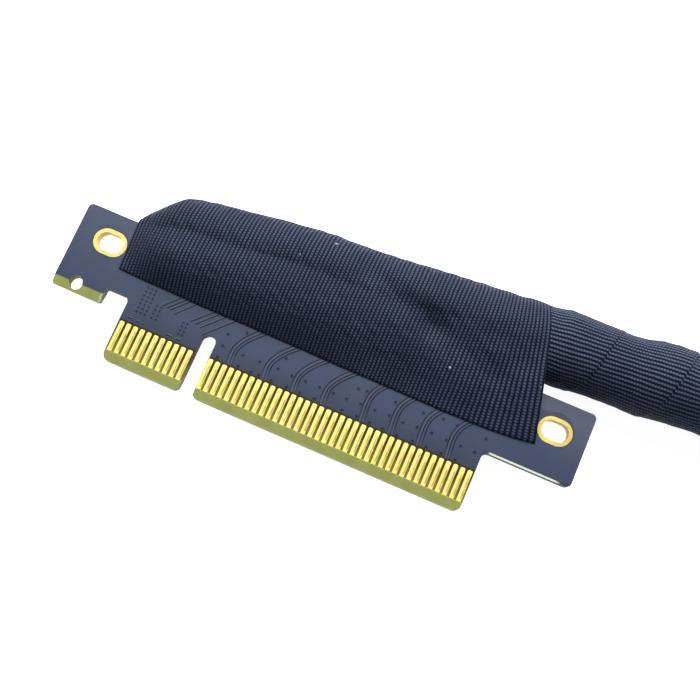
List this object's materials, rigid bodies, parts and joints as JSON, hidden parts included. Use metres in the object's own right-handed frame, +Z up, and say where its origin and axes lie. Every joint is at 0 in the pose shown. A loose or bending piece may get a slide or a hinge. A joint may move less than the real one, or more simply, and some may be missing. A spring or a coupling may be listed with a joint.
{
  "type": "pcie extension cable",
  "caption": "Extension cable for expansion cards: a gold-contact card-edge board with a key notch and eared ends, cloth-taped into a round cable that ends in an in-line slot connector.",
  "frame": {"origin": "on the surface that the part rests on, under the middle of the card-edge end with its wrap", "axes": "+X along the card-edge contacts towards the cable, +Y from the contact tips towards the wrap, +Z up from the face with the screw rings"},
  "size_m": [0.1614, 0.1512, 0.0106],
  "materials": {
    "fibre_board": "satin",
    "solder_mask": "satin",
    "gold": "polished",
    "tape_cloth": "matte",
    "cable_tape": "matte",
    "slot_plastic": "matte",
    "glue": "satin",
    "pair_jacket": "satin",
    "power_jacket": "satin",
    "control_jacket": "satin"
  },
  "bodies": {
    "root": {"edge_board": "fibre_board", "edge_mask_front": "solder_mask", "edge_mask_rear": "solder_mask", "edge_contacts_front": "gold", "edge_contacts_rear": "gold", "edge_slot_plating_left": "gold", "edge_slot_plating_right": "gold", "edge_wire_pads_front": "gold", "edge_wire_pads_rear": "gold", "edge_glue_front": "glue", "edge_glue_rear": "glue", "edge_signal_pairs_front": "pair_jacket", "edge_signal_pairs_rear": "pair_jacket", "edge_power_wires": "power_jacket", "edge_clock_pair": "pair_jacket", "edge_control_wire": "control_jacket", "edge_tape_wrap": "tape_cloth", "cable": "cable_tape", "socket_board": "fibre_board", "socket_mask_front": "solder_mask", "socket_mask_rear": "solder_mask", "socket_slot_plating_left": "gold", "socket_slot_plating_right": "gold", "socket_housing": "slot_plastic", "socket_contacts_front": "gold", "socket_contacts_rear": "gold", "socket_tail_pads": "gold", "socket_wire_pads_front": "gold", "socket_wire_pads_rear": "gold", "socket_glue_front": "glue", "socket_glue_rear": "glue", "socket_signal_pairs_front": "pair_jacket", "socket_signal_pairs_rear": "pair_jacket", "socket_power_wires": "power_jacket", "socket_clock_pair": "pair_jacket", "socket_control_wire": "control_jacket", "socket_tape_wrap": "tape_cloth"}
  },
  "joints": []
}
